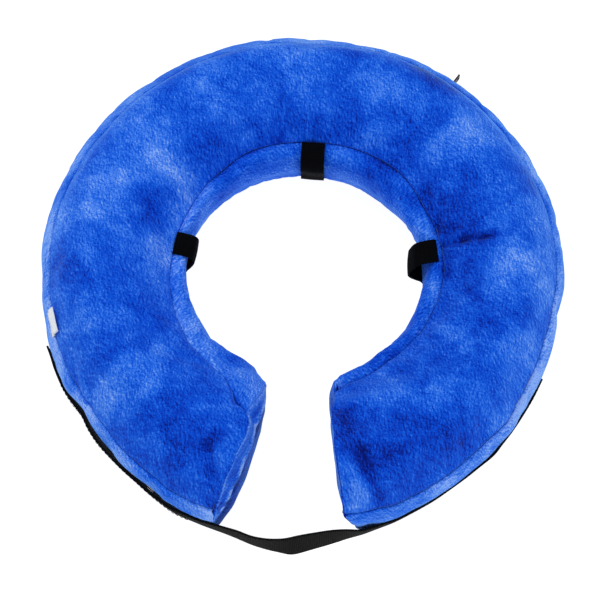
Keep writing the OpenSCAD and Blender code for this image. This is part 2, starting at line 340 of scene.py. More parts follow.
def woven(name, dark, light):
    """Plain woven ribbon, for the label and the zipper tape."""
    m = Nodes(name)
    uv, thread = m.cloth(), 0.45 * MM
    weave = m.math("MULTIPLY", m.wave(uv, thread, "X"), m.wave(uv, thread, "Y"))
    value = m.total((weave, 0.5), (m.noise(uv, 160, 3, 0.6), 0.5))
    return m.finish(0.7, 0.3, 0.15, **{
        "Base Color": m.ramp(value, [(0.15, dark), (0.75, light)]), "Normal": m.bump(weave, 0.12 * MM, 0.7)})


def solid(name, dark, light, roughness, metallic=0.0, grain=500.0, specular=0.5, **extra):
    """Moulded or cast material with a little mottle, and wear in its roughness."""
    m = Nodes(name)
    at = m.node("ShaderNodeTexCoord").outputs["Object"]
    mottle = m.noise(at, grain, 4, 0.6)
    wear = m.noise(at, 90, 3, 0.55)
    rough = m.span(wear, 0.3, 0.7, roughness * 0.8, min(1.0, roughness * 1.25))
    return m.finish(rough, specular, Metallic=metallic, **{
        "Base Color": m.ramp(m.total((mottle, 0.5), (wear, 0.5)), [(0.3, dark), (0.7, light)]),
        "Normal": m.bump(mottle, 0.05 * MM, 0.6), **extra})


PLUSH_FRONT = plush("plush_front", math.radians(8))
PLUSH_BACK = plush("plush_back", math.radians(-6))
# The neck and outer bands are set lighter, partly for the run of their pile and partly as painted sheen on
# their steep sides
PLUSH_NECK = plush("plush_neck", math.radians(88), 0.1)
PLUSH_OUTER = plush("plush_outer", math.radians(94), 0.17)
PLUSH_END = plush("plush_end", math.radians(84), 0.02)
STRAP_CLOTH = webbing("strap_webbing", colour(0, 0, 0), colour(30, 32, 31))
LOOP_CLOTH = webbing("loop_webbing", colour(1, 1, 2), colour(7, 8, 11), 0.8 * MM)
HOOK_TAPE = tape_pile("hook_tape", colour(8, 8, 9), colour(34, 34, 36), 1.1 * MM, 0.6 * MM)
PILE_TAPE = tape_pile("pile_tape", colour(7, 7, 8), colour(26, 26, 28), 0.6 * MM, 0.5 * MM)
LABEL_CLOTH = woven("label_tape", colour(214, 222, 232), colour(250, 252, 255))
ZIP_CLOTH = woven("zipper_tape", colour(4, 34, 120), colour(16, 64, 178))
COIL_PLASTIC = solid("zipper_coil", colour(4, 26, 96), colour(14, 50, 150), 0.35)
ZIP_METAL = solid("zipper_metal", colour(10, 10, 11), colour(34, 34, 36), 0.35, 0.6)
FILM = solid("bladder_film", colour(190, 205, 214), colour(222, 232, 238), 0.12, 0.0, 60.0,
             **{"Transmission Weight": 0.6, "Alpha": 0.75})
VALVE_PLASTIC = solid("valve_plastic", colour(205, 214, 220), colour(232, 238, 242), 0.3)
THREAD = solid("black_thread", colour(0, 0, 1), colour(9, 9, 11), 0.9, 0.0, 2500.0, 0.05)
BLUE_THREAD = solid("blue_thread", colour(8, 44, 150), colour(40, 96, 214), 0.6, 0.0, 2500.0)


def dress(obj, material, body, slot, *nodes):
    """Gives a piece its material and body, and hides the CAD nodes that it stands for; slot is not used."""
    obj.data.materials.clear()
    obj.data.materials.append(material)
    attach(obj, body)
    if nodes:
        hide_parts(*nodes)


def dress_nodes(material, *names):
    """Gives CAD nodes that stay showing their material."""
    for name in names:
        NODES[name].data.materials.clear()
        NODES[name].data.materials.append(material)


# ---- the ring's section and the cover's grid ----

RINGS = 320
STEPS = {"front": 28, "outer": 16, "back": 26, "neck": 16}
ZIP_SPAN = (51.2, 162.4)
ZIP_HALF = 4.8 * MM


def bent(p, m, q, t):
    """Points at shares t of the way along the quadratic curve from p to q through m."""
    c = 2 * m - (p + q) / 2
    return (1 - t) ** 2 * p + 2 * t * (1 - t) * c + t * t * q


def curve(p, m, q, n):
    """Quadratic curve from p to q through m, with points drawn towards both ends."""
    t = np.linspace(0, 1, n + 1)
    return bent(p, m, q, (0.55 * t + 0.45 * (0.5 - 0.5 * np.cos(np.pi * t)))[:, None])


def back_curve():
    """The back, with the flat that the ring rests on."""
    n = STEPS["back"] // 2 - 3
    out = curve(BACK_OUT, np.array([RING_R - 12.5 * MM, 3.4 * MM]), REST_OUT, n)
    inn = curve(REST_IN, np.array([NECK_R + 14 * MM, 3.2 * MM]), BACK_IN, n)
    return np.concatenate([out, np.linspace(REST_OUT, REST_IN, 7)[1:-1], inn])


def seam_in(p, k):
    """A seam's point moved in by k from both of the faces that meet there."""
    return p + 1.41 * k * unit(TUBE_MID - p)


# Radius of the seam between neck band and front panel, in mm at each angle: near the left end it
# climbs over the front surface
SEAM_IN_R = [
    (-78.5, 83.4), (-73, 83.2), (-60, 83), (-45, 84), (-25, 86), (-11, 88), (4, 88.4), (21, 88),
    (45, 89.6), (65, 88.4), (87, 87.4), (111, 87.4), (133, 85), (154, 83.4), (173, 83.8), (191, 86),
    (204, 87.4), (218, 90.6), (227.5, 91.8), (236.8, 94.9), (244, 100.5), (247.6, 104.4), (251.5, 105.4)]
# Radius of the seam between front panel and outer band, in mm at each angle: on the far side the
# band rolls over onto the front
SEAM_OUT_R = [
    (-78, 166), (-35, 166), (0, 164.8), (25, 162), (45, 160), (90, 158.3), (135, 158), (155, 160.5),
    (175, 164), (200, 165), (215, 166), (252, 166)]


def front_share(r):
    """Share of the way along the front surface's curve at which it has this radius."""
    c = 2 * FRONT_MID - (FRONT_IN + FRONT_OUT) / 2
    a, b = (FRONT_IN - 2 * c + FRONT_OUT)[0], 2 * (c - FRONT_IN)[0]
    return (math.sqrt(b * b + 4 * a * (r - FRONT_IN[0])) - b) / (2 * a)


def section(k=0.0, seam_r=FRONT_IN[0], out_r=FRONT_OUT[0]):
    """Closed outline of the ring's section, k inside the cover's outer face, panel after panel."""
    first, last = front_share(max(seam_r, FRONT_IN[0])), front_share(out_r)
    shares = np.array([first, (first + last) / 2, last])[:, None]
    start, middle, outside = bent(FRONT_IN, FRONT_MID, FRONT_OUT, shares)
    start = start + np.array([1.0, 0.4]) * min(seam_r - FRONT_IN[0], 0.0)
    front = curve(seam_in(start, k), middle - [0, k], seam_in(outside, k), STEPS["front"])
    outer = curve(seam_in(outside, k), OUTER_MID - [k, 0], seam_in(BACK_OUT, k), STEPS["outer"])
    back = back_curve()
    if k:
        inward = unit(TUBE_MID - back)
        back = back + np.stack([inward[:, 0] * k * 0.4, np.full(len(back), k)], -1)
        back[0], back[-1] = seam_in(BACK_OUT, k), seam_in(BACK_IN, k)
    neck = curve(seam_in(BACK_IN, k), NECK_MID + [k, 0], seam_in(start, k), STEPS["neck"])
    return np.concatenate([front[:-1], outer[:-1], back[:-1], neck[:-1]])


SECTION = section()
ROUND = len(SECTION)
SEAM_COLS = [int(n) for n in np.cumsum([0, *STEPS.values()])[:-1]]
SEAMS = {name: (at, at + STEPS[name]) for name, at in zip(STEPS, SEAM_COLS)}

# How far the soft ring stands out from, or in from, a true circle, in mm at each angle
OUTER_SWAY = [
    (-80, 1.2), (-76, 1.4), (-70, 2.6), (-65, 1.5), (-58, 0.4), (-50, -1.0), (-45, -1.2), (-39, 0.0),
    (-34, -1.8), (-29, -2.7), (-20, -3.0), (-10, -2.0), (-2, -0.5), (6, -0.2), (14, 0.8), (30, 0.9),
    (46, 1.6), (62, 1.8), (70, 1.0), (78, -0.2), (86, -0.8), (94, 0.8), (110, 1.0), (126, 1.2), (134, 2.0),
    (150, 1.8), (164, 1.8), (174, 0.4), (182, -0.8), (190, -0.5), (198, 0.2), (206, -0.2), (214, -1.6),
    (221, -1.0), (228, 1.2), (236, 2.4), (241, 4.8), (248, 5.4), (253, 5.2)]
INNER_SWAY = [
    (-80, 6.5), (-76, 3.0), (-71, 0.6), (-60, 0.3), (-50, -0.4), (-42, 0.4), (-30, 1.6), (0, 1.8),
    (14, 0.8), (28, -0.6), (42, -0.2), (60, 0), (78, -0.4), (92, -0.6), (110, 0), (170, 0), (200, -0.2),
    (215, -0.6), (228, -2.4), (238, -3.8), (244, -2.8), (248, 0.6), (251, 3.2), (254, 4.5)]
# How far each end's upper edge leans along the ring, in degrees at each radius in mm
RIGHT_LEAN = [(75, 2.6), (86, 1.7), (96, -1.7), (111, -2.5), (130, -3.1), (166, -2.9), (170, -2.0)]
LEFT_LEAN = [
    (76, 2.4), (86, 2.6), (95, 1.6), (104, 1.2), (112, 2.6), (122, 2.7), (137, 1.6), (154, 0.6),
    (170, 0.1)]
# Degrees by which the right end's foot leans, and by which the left end is pinched at the neck seam
RIGHT_FOOT_LEAN, LEFT_PINCH, PINCH_REACH = 0.3, -1.0, 7 * MM


def sway(deg, r):
    """Radial shift of the soft ring at an angle and radius."""
    share = smooth(r, NECK_R, RING_R)
    return (keyed(deg, OUTER_SWAY) * share + keyed(deg, INNER_SWAY) * (1 - share)) * MM


def ring_points(k=0.0, start=RIGHT_END, end=LEFT_END, rings=RINGS):
    """Grid of the section carried round the ring, rows along the ring, and the angle of each point."""
    deg = np.linspace(start, end, rings + 1)[:, None]
    sections = np.stack([section(k, keyed(d, SEAM_IN_R) * MM, keyed(d, SEAM_OUT_R) * MM)
                         for d in deg[:, 0]])
    r, z = sections[..., 0], sections[..., 1]
    near_right = 1 - smooth(deg, start, start + 16)
    near_left = smooth(deg, end - 9, end) ** 1.5
    upper = smooth(z, 26 * MM, 50 * MM)
    pinch = LEFT_PINCH * bell(np.linalg.norm(sections - sections[:, :1], axis=-1), PINCH_REACH)
    lean_right = keyed(r / MM, RIGHT_LEAN) * upper + RIGHT_FOOT_LEAN * (1 - upper)
    lean_left = keyed(r / MM, LEFT_LEAN) * upper + pinch
    at = deg + near_right * lean_right + near_left * lean_left
    return polar(at, r + sway(at, r), z), at


def grid_normals(p):
    du = np.gradient(p, axis=0)
    dv = np.roll(p, -1, axis=1) - np.roll(p, 1, axis=1)
    return unit(np.cross(dv, du))


# ---- cloth simulation of the cover ----

PUFF_CAP = 5 * MM
SOFT_PIN = 0.95
# Shares of the blown shape that the two ends take, and of the first shape that the front keeps at
# its outer seam
RIGHT_TAKES, LEFT_TAKES, FRONT_KEEPS = 0.65, 0.3, 0.75
FRAMES = 20
CLOTH = {
    "quality": 6, "mass": 0.25, "tension_stiffness": 30, "compression_stiffness": 30, "shear_stiffness": 12,
    "bending_stiffness": 2.5, "use_pressure": True, "uniform_pressure_force": 4, "shrink_min": -0.02,
    "vertex_group_mass": "pins", "pin_stiffness": 1, "air_damping": 2}
# Shares of the way from an end's edge to its middle at which its rings of points lie
CAP_SHARES = np.array([0.03, 0.07, 0.12, 0.19, 0.27, 0.36, 0.46, 0.57, 0.68, 0.79, 0.9, 1.0])
# Bulge of the left end past its plane in mm at each radius, and its shape from the floor to the seam
LEFT_BULGE = [
    (78, 1.0), (83, 2.6), (95, 6.4), (108, 8.4), (122, 9.0), (139, 9.2), (156, 7.2), (166, 4.0),
    (174, 0.5)]
BULGE_SHAPE = [
    (0, 0), (0.06, 0.4), (0.25, 0.85), (0.48, 1.0), (0.62, 0.92), (0.71, 0.72), (0.78, 0.62), (0.9, 0.34),
    (1, 0)]
RIGHT_CROWN = 0.5 * MM


def simulate(points, right, left):
    """Inflates the whole cover as cloth held at its seams, and returns the moved grid and end caps."""
    rows, cols = points.shape[:2]
    last = np.arange(rows - 1) * cols + cols - 1
    wrap = np.stack([last, last - cols + 1, last + 1, last + cols], -1)
    faces = [tuple(q) for q in np.concatenate([grid_faces(points, True), wrap])]
    verts = [points.reshape(-1, 3)]
    count = rows * cols
    for row, rings, flip in ((0, right, True), (rows - 1, left, False)):
        faces += cap_faces(row * cols + np.arange(cols), count, len(rings) - 1, flip)
        verts += [*rings[:-1], rings[-1][:1]]
        count += (len(rings) - 1) * cols + 1
    start = np.concatenate(verts)
    obj = new_mesh("cover_cloth", start, faces)
    pins = obj.vertex_groups.new(name="pins")
    held = np.zeros((rows, cols))
    held[:, SEAM_COLS] = 1.0
    held[[0, -1]] = 1.0
    held[points[:, :, 2] < 0.5 * MM] = SOFT_PIN
    by_zipper = (base_deg > ZIP_SPAN[0] - 2) & (base_deg < ZIP_SPAN[1] + 2)
    held[by_zipper & (abs(points[:, :, 2] - ZIP_Z) < 7 * MM)] = 1.0
    for weight in (SOFT_PIN, 1.0):
        pins.add([int(v) for v in np.flatnonzero(held.ravel() == weight)], weight, "REPLACE")
    cloth = obj.modifiers.new("cloth", "CLOTH")
    for key, value in CLOTH.items():
        setattr(cloth.settings, key, value)
    cloth.settings.effector_weights.gravity = 0
    cloth.collision_settings.use_collision = False
    cloth.point_cache.frame_start, cloth.point_cache.frame_end = 1, FRAMES
    scene = bpy.context.scene
    for f in range(1, FRAMES + 1):
        scene.frame_set(f)
    evaluated = obj.evaluated_get(bpy.context.evaluated_depsgraph_get())
    mesh = evaluated.to_mesh()
    moved = np.zeros(len(mesh.vertices) * 3)
    mesh.vertices.foreach_get("co", moved)
    evaluated.to_mesh_clear()
    bpy.data.objects.remove(obj)
    scene.frame_set(1)
    move = moved.reshape(-1, 3) - start
    size = np.linalg.norm(move, axis=1, keepdims=True)
    moved = start + move * np.minimum(1, PUFF_CAP / np.maximum(size, 1e-9))
    at = rows * cols
    out = [moved[:at].reshape(rows, cols, 3)]
    for rings in (right, left):
        step = (len(rings) - 1) * cols
        ends = np.concatenate([moved[at:at + step], np.repeat(moved[at + step][None], cols, 0)])
        out.append(ends.reshape(rings.shape))
        at += step + 1
    return out


def front_height(r):
    """Height of the front surface at a radius."""
    line = curve(FRONT_IN, FRONT_MID, FRONT_OUT, 60)
    return np.interp(r, line[:, 0], line[:, 1])


def cap_rings(loop, crown, way, bulge=None):
    """Rings from an end's loop to its middle, and the direction that the end faces."""
    mid = polar(angle_of(loop.mean(0)[None])[0], TUBE_MID[0], TUBE_MID[1] + 4 * MM)
    out = unit(np.cross(UP, mid * [1, 1, 0])) * way
    share = CAP_SHARES[:, None, None]
    rings = loop + (mid - loop) * share
    share = share[..., 0]
    roof = crown * (1 - (1 - share) ** 2.6) + 0 * rings[..., 2]
    if bulge:
        r = radius_of(rings)
        h = rings[..., 2] / front_height(r)
        ridge = 2.4 * bell(h - 0.775, 0.03) - bell(h - 0.7, 0.04)
        rise = keyed(r / MM, bulge) * keyed(h, BULGE_SHAPE) + ridge * smooth(share, 0.03, 0.2)
        roof = rise * MM * (1 - (1 - share) ** 9)
        rings = rings - ((rings - mid) @ out * share)[..., None] * out
    return rings + roof[..., None] * out, out


base_grid, base_deg = ring_points()
right_rings, right_out = cap_rings(base_grid[0], RIGHT_CROWN, -1)
left_rings, left_out = cap_rings(base_grid[-1], 0.0, 1, LEFT_BULGE)
cover, blown_right, blown_left = simulate(base_grid, right_rings, left_rings)
gap = np.linalg.norm(SECTION - SECTION[SEAM_COLS[1]], axis=1)
calm = FRONT_KEEPS * bell(gap, 14 * MM) * (np.arange(ROUND) < SEAM_COLS[1])
cover = cover + calm[:, None] * (base_grid - cover)
right_rings = right_rings + RIGHT_TAKES * (blown_right - right_rings)
left_rings = left_rings + LEFT_TAKES * (blown_left - left_rings)


# ---- ribbons, threads and other small builders ----

def length_along(points, axis=0):
    step = np.linalg.norm(np.diff(points, axis=axis), axis=-1)
    pad = [(0, 0)] * step.ndim
    pad[axis] = (1, 0)
    return np.cumsum(np.pad(step, pad), axis=axis)


def spline(keys, per=12):
    """Smooth line through the keys."""
    keys = np.asarray(keys, float)
    ends = np.concatenate([2 * keys[:1] - keys[1:2], keys, 2 * keys[-1:] - keys[-2:-1]])
    t = (np.arange(per) / per)[:, None]
    out = []
    for a, b, c, d in zip(ends[:-3], ends[1:-2], ends[2:-1], ends[3:]):
        bow, twist = 2 * a - 5 * b + 4 * c - d, 3 * b - a - 3 * c + d
        out.append(0.5 * (2 * b + (c - a) * t + bow * t ** 2 + twist * t ** 3))
    return np.concatenate([*out, keys[-1:]])


def picked(line, length, at):
    return np.stack([np.interp(at, length, line[:, k]) for k in range(line.shape[1])], -1)


class Ribbon:
    """Flat tape along keys of (x, y, z, lean): leaning its upper edge outward by that many degrees."""

    def __init__(self, keys):
        self.line = spline(keys)
        self.length = length_along(self.line[:, :3])
        heading = unit(np.gradient(self.line[:, :3], axis=0))
        out = unit(np.stack([heading[:, 1], -heading[:, 0], 0 * heading[:, 0]], -1))
        if (out * self.line[:, :3])[:, :2].sum() < 0:
            out = -out
        lean = np.radians(self.line[:, 3:])
        self.up = out * np.sin(lean) + UP * np.cos(lean)
        self.face = out * np.cos(lean) - UP * np.sin(lean)
        self.turned = float((np.cross(heading, self.up) * self.face).sum()) < 0

    def at(self, along, across, off=0.0):
        """Points this far along the tape, across it from its middle, and off its face."""
        lines = (self.line[:, :3], self.up, self.face)
        c, up, face = [picked(line, self.length, along) for line in lines]
        across, off = np.asarray(across), np.asarray(off)
        return c + up * across[..., None] + face * off[..., None]


def tape(name, ribbon, width, thickness, rows, slant=0.0, ripple=0.0, curl=0.0):
    """A ribbon's mesh, with its far end cut on a slant: its grid lies on the middle of the tape."""
    v = np.linspace(-0.5, 0.5, 9)[None]
    u = np.linspace(0, 1, rows)[:, None]
    along = (ribbon.length[-1] - slant * (v + 0.5)) * u
    across = np.broadcast_to(v * width, along.shape)
    bend = ripple * noise_at(ribbon.at(along, across) * [1, 1, 0.5], 24 * MM, 41.0) - curl * (2 * v) ** 2
    points = ribbon.at(along, across, bend)
    obj = new_mesh(name, points, grid_faces(points, ribbon.turned), together(along, across))
    return thicken(obj, thickness, offset=0, bevel=thickness * 0.3)


def stitches(name, lines, stitch=2.6 * MM, gap=0.9 * MM, radius=0.26 * MM):
    """Rows of thread: each line is (points, normals), laid as short arched stitches."""
    verts, faces, sides, steps = [], [], 6, 5
    t = np.linspace(0, 1, steps)
    arch = np.sin(np.pi * t)
    turn = (2 * np.pi * np.arange(sides) / sides)[:, None]
    for points, normals in lines:
        place = length_along(points)
        for i in range(max(1, int((place[-1] + gap) / (stitch + gap)))):
            at = i * (stitch + gap) + t * stitch
            middle, up = picked(points, place, at), unit(picked(normals, place, at))
            side = unit(np.cross(unit(np.gradient(middle, axis=0)), up))
            thick = radius * (0.35 + 0.65 * arch ** 0.5)
            middle = middle + up * (radius * (0.9 * arch - 0.5))[:, None]
            base = len(verts)
            for k in range(steps):
                verts += list(middle[k] + thick[k] * (np.cos(turn) * side[k] + np.sin(turn) * up[k]))
            for k in range(steps - 1):
                for j in range(sides):
                    a, b = base + k * sides + j, base + k * sides + (j + 1) % sides
                    faces.append((a, b, b + sides, a + sides))
            faces.append(tuple(base + j for j in range(sides))[::-1])
            faces.append(tuple(base + (steps - 1) * sides + j for j in range(sides)))
    return new_mesh(name, verts, faces)


# ---- folds, creases and puckers of the cover ----

# Creases as (start angle, start radius in mm, end angle, end radius in mm, depth in mm, half width in mm)
CREASES = [
    (248.0, 130, 245.0, 142, 2.6, 4.5), (245.4, 142, 248.2, 153, 2.4, 3.6),
    (248.2, 153, 250.2, 167, 1.6, 3.0), (246.0, 101, 247.6, 106, 2.2, 3.0),
    (243.5, 112, 241.0, 128, 0.8, 6.0), (250.2, 168, 250.6, 172, 2.0, 2.2),
    (-78.4, 100, -78.6, 122, 1.6, 5.5), (-76.8, 108, -75.2, 134, 1.4, 7.0),
    (-75.2, 137, -73.8, 163, 2.4, 4.2), (-80.4, 149, -80.6, 165, 2.0, 3.0),
    (-78.0, 146, -75.4, 163, -1.3, 3.6), (-72.4, 136, -70.6, 160, -0.8, 4.0),
    (8.1, 89.5, 7.2, 102, 2.2, 2.2), (7.2, 102, 6.1, 115, 3.3, 2.2), (6.1, 115, 5.6, 132, 3.2, 2.1),
    (14.4, 89.7, 24.5, 98, 1.9, 2.6), (15.9, 90, 31.8, 94, 1.6, 2.5), (12, 96, 16, 108, 1.2, 2.5),
    (349.3, 98, 344.5, 115.5, 1.4, 2.8), (344.5, 115.5, 342.5, 132.7, 1.3, 2.8),
    (341.6, 114.5, 336.6, 134, 1.1, 3.0), (328, 151, 326, 163, 0.9, 1.9), (322, 150, 320, 163, 1.2, 2.0),
    (316, 151, 314, 163, 1.1, 1.9), (311, 148, 308.5, 163, 1.3, 2.1), (306, 150, 304, 163, 1.0, 1.9),
    (299, 152, 297.5, 163, 0.8, 1.9), (355, 92, 352, 104, 0.9, 3.4), (10, 116, 14, 124, 0.7, 2.6),
    (330, 92, 322, 112, 0.8, 4.5), (168, 88, 160, 106, 1.0, 4.0), (176, 90, 182, 108, 0.9, 4.0),
    (85, 90, 79, 104, 0.8, 4.0), (206.1, 161, 211.3, 165.4, 1.2, 2.0), (211, 158, 215.5, 163, 1.4, 2.2),
    (208.6, 159, 213.6, 164, -0.9, 1.8), (150, 152, 141, 166, 0.7, 4.0), (110, 152, 104, 166, 0.6, 4.0),
    (35, 150, 30, 166, 0.7, 4.0), (60, 153, 66, 166, 0.6, 3.5), (205, 92, 212, 118, 0.7, 5.0),
    (228, 98, 222, 112, 0.6, 4.0), (100, 92, 112, 100, 0.7, 3.0), (60, 92, 52, 104, 0.8, 3.6)]
# Broad swells, and puckers along the seams, as (height in mm, length in mm, noise seed)
SWELLS = [(1.1, 62, 1.0), (0.5, 24, 2.0)]
PUCKERS = [(0.8, 9.5, 3.0), (0.8, 4.6, 8.0)]
# Depth in mm of the groove along each seam
SEAM_SINK = 0.5
# Clouds of lighter or darker pile, with painted shade near the neck seam and painted shade and highlights
# along the creases, as (angle, radius in mm, length in mm, tone)
PILE_CLOUDS_AND_PAINTED_LIGHT = [
    (60, 104, 20, -0.16), (32, 101, 14, -0.42), (8, 108, 20, -0.2), (345, 108, 22, -0.14),
    (85, 102, 20, -0.2), (112, 104, 20, -0.08), (-78, 118, 13, -0.02), (-74.6, 150, 8, -0.1),
    (-77.4, 153, 7, 0.08), (-72.0, 150, 9, 0.08), (246, 140, 12, -0.08), (236, 146, 22, -0.12),
    (200, 135, 22, 0.1), (165, 140, 28, 0.08), (130, 140, 30, 0.04), (20, 140, 26, -0.14),
    (350, 140, 26, -0.06), (216, 150, 12, 0.16), (190, 154, 11, 0.16), (85, 130, 30, 0.04),
    (-60, 130, 24, -0.1), (176, 118, 20, 0.06), (40, 136, 30, 0.24), (46, 99, 11, -0.22),
    (350, 106, 16, -0.26), (350, 153, 12, 0.18), (-69, 124, 24, -0.12), (210, 116, 20, 0.18),
    (230, 150, 14, -0.24), (249, 132, 12, -0.04), (249, 98, 10, -0.16), (150, 108, 16, -0.04),
    (130, 154, 12, 0.18), (128, 98, 10, -0.14), (136, 142, 22, 0.1), (200, 152, 16, 0.12),
    (12, 152, 14, 0.1), (-50, 136, 16, -0.1), (-74, 100, 12, -0.14), (70, 118, 12, 0.1),
    (165, 100, 12, -0.08), (246, 136, 9, 0.08), (145, 117, 10, 0.06)]


def seam_gaps():
    """Distance along the section from each column to the nearest seam, and which seam that is."""
    step = np.linalg.norm(np.roll(SECTION, -1, axis=0) - SECTION, axis=1)
    place = np.concatenate([[0], np.cumsum(step)[:-1]])
    gaps = abs(place[:, None] - place[SEAM_COLS][None])
    gaps = np.minimum(gaps, step.sum() - gaps)
    return gaps.min(1), gaps.argmin(1)


SEAM_GAP, NEAREST_SEAM = seam_gaps()


def upper_side(points):
    return smooth(points[:, :, 2], 40 * MM, 52 * MM)


def crease_field(points):
    """How far the creases press into the upper side of the cover at each point."""
    field = np.zeros(points.shape[:2])
    for deg_a, r_a, deg_b, r_b, depth, width in CREASES:
        a, b = polar(deg_a, r_a * MM, 0.0), polar(deg_b, r_b * MM, 0.0)
        along = b - a
        t = np.clip(((points - a) @ along) / (along @ along), 0, 1)
        off = radius_of(points - a - t[..., None] * along) / (width * MM)
        field += depth * MM * (1.25 * bell(off) - 0.25 * bell(off, 2.2))
    return field * upper_side(points)


def patch_field(points):
    """Tone of the brushed clouds of pile at each point of the upper side, with painted shade near the neck
    seam and painted shade and highlights along the creases.
    """
    field = np.zeros(points.shape[:2])
    ragged = 0.45 * noise_at(points, 14 * MM, 61.0)
    for deg, r, size, tone in PILE_CLOUDS_AND_PAINTED_LIGHT:
        gap = radius_of(points - polar(deg, r * MM, 0.0)) / (size * MM)
        field += tone * bell(np.maximum(gap + ragged, 0))
    return field * upper_side(points)


def fold_cover(points):
    """Adds broad swells, seam puckers, the sunken seams and the creases; also returns the pile's tone, with
    painted shade in the creases and along the seams and painted highlights on raised ridges and puckers.
    """
    out = grid_normals(points)
    height = points[:, :, 2]
    a, b = ZIP_SPAN
    zipped = smooth(base_deg, a - 6, a) * (1 - smooth(base_deg, b, b + 6))
    on_wall = radius_of(points) > RING_R - 20 * MM
    near_zip = zipped * np.exp(-((height - ZIP_Z) / (12 * MM)) ** 4) * on_wall
    swell = sum(tall * noise_at(points, size * MM, seed) for tall, size, seed in SWELLS)
    swell = swell * (1 - np.exp(-SEAM_GAP / (9 * MM)))
    pucker = np.zeros(points.shape[:2])
    for k, column in enumerate(SEAM_COLS):
        line = points[:, column]
        wave = sum(tall * noise_at(line, size * MM, seed + k) for tall, size, seed in PUCKERS)
        near = (NEAREST_SEAM == k) * np.exp(-SEAM_GAP / (5.0 * MM)) * (1 - np.exp(-SEAM_GAP / (1.6 * MM)))
        pucker += wave[:, None] * near * (0.5 if k == 1 else 1.7)
    crease = crease_field(points)
    shift = (swell + pucker) * (1 - near_zip) - SEAM_SINK * np.exp(-SEAM_GAP / MM)
    shift = shift * MM * (height >= 1.2 * MM) - crease
    moved = points + out * shift[..., None]
    moved[:, :, 2] = np.maximum(moved[:, :, 2], 0.15 * MM)
    # Painted light: darker in the creases and along the seams, lighter on raised ridges and puckers
    tone = patch_field(points) - 0.065 * np.maximum(crease, 0) / MM + 0.12 * np.maximum(-crease, 0) / MM
    seam_painted_shade = np.where(NEAREST_SEAM == 0, 0.06, 0.22) * bell(SEAM_GAP, MM)
    return moved, tone + 0.04 * pucker - seam_painted_shade


cover, cover_tone = fold_cover(cover)


# ---- lines of the closure strap and its tapes ----

STRAP_W, STRAP_T, TAPE_T = 25 * MM, 1.4 * MM, 0.9 * MM
LAYER_GAP = 0.12 * MM
PILE_OFF = STRAP_T / 2 + LAYER_GAP + TAPE_T + LAYER_GAP + TAPE_T / 2
HOOK_OFF = STRAP_T / 2 + LAYER_GAP + TAPE_T / 2
# Past this angle the webbing lifts off, and the pile tape stays on the wall
LIFT_OFF_DEG, WALL_RISE = 204, 0.9
# Middle of the webbing as (angle, mm beyond the ring's radius, lean of its upper edge outward):
# the sewn end, the free run across the gap, and the run that holds to the left side
ANCHOR_KEYS = [
    (335.8, -3.6, 12), (331, -3.6, 12), (326, -3.6, 12), (322, -3.3, 12), (318, -2.8, 12), (315, -1.7, 11),
    (311, -2.4, 11), (307, -2.4, 11), (302, -1.8, 11), (299, -1.3, 11), (294, -0.5, 11), (290, 0.6, 11),
    (287, 0.9, 10)]
GAP_KEYS = [
    (285.3, 1.3, 10), (283.4, 1.7, 9), (282.5, 1.9, 9), (281.3, 1.7, 7), (279.5, 1.4, 3), (277.3, 1.6, -2),
    (274.8, 2.3, -6), (271.5, 4.0, -9), (269.0, 5.8, -11), (267.4, 6.9, -10), (265.5, 7.1, -5),
    (262.5, 7.0, 0), (259.5, 6.2, 3), (256.5, 4.4, 4), (254, 3.6, 6), (252, 3.4, 7)]
HOLD_KEYS = [
    (250, 3.6, 8), (247.6, 4.0, 9), (242, 4.5, 9), (238, 3.2, 9), (235, 2.2, 9), (232, 1.2, 9),
    (229, 0.9, 9), (225, 0.6, 8), (221, 0.5, 8), (217, -0.6, 8), (213.5, -2.0, 7), (210, -0.8, 7),
    (206, 0.0, 7), (202, 0.2, 6), (198, 0.5, 4), (194.4, 2.3, 2), (193.6, 2.6, 2)]


def strap_line(keys, off=0.0):
    """Ribbon keys this far inside the webbing's middle."""
    return [[*polar(deg, RING_R + mm * MM - off, STRAP_Z), lean] for deg, mm, lean in keys]


def held_run(degs, rise=math.inf):
    """Keys of a tape layer under the held run, kept below this rise past the webbing's lift-off."""
    at, mm, lean = np.array(HOLD_KEYS[::-1]).T
    keys = [(deg, float(np.interp(deg, at, mm)), float(np.interp(deg, at, lean))) for deg in degs]
    return [(deg, min(mm, rise) if deg < LIFT_OFF_DEG else mm, lean) for deg, mm, lean in keys]


def follow_tape(points):
    """Draws the outer wall to the webbing and tapes that are sewn to it, at their height."""
    deg = angle_of(points) % 360
    radius, z = radius_of(points), points[..., 2]
    r = radius
    outer = radius > RING_R - 30 * MM
    height = bell(np.maximum(abs(z - STRAP_Z) - STRAP_W / 2, 0), 3.5 * MM)
    for keys, under in ((HOLD_KEYS[::-1], PILE_OFF + TAPE_T / 2), (ANCHOR_KEYS[::-1], STRAP_T / 2)):
        at, mm, lean = np.array(keys, float).T
        mm = np.where(at < LIFT_OFF_DEG, np.minimum(mm, WALL_RISE), mm)
        reach = RING_R + np.interp(deg, at, mm) * MM - under - 0.15 * MM
        reach = reach + np.tan(np.radians(np.interp(deg, at, lean))) * (z - STRAP_Z)
        beyond = np.maximum(np.maximum(at[0] - deg, deg - at[-1]), 0)
        share = height * bell(beyond, 1.6) * outer
        r = r + np.clip(reach - r, -9 * MM, 4.5 * MM) * share
    points[..., :2] *= (r / radius)[..., None]


# ---- the cover's panels ----

follow_tape(cover)


# How far a seam's edge turns in and across: along the ring's seams, then at the ends of the grid
TUCK_IN, TUCK_ACROSS = 2.4 * MM, 0.5 * MM
END_TUCK_IN, END_TUCK_ALONG = 2.0 * MM, 1.2 * MM


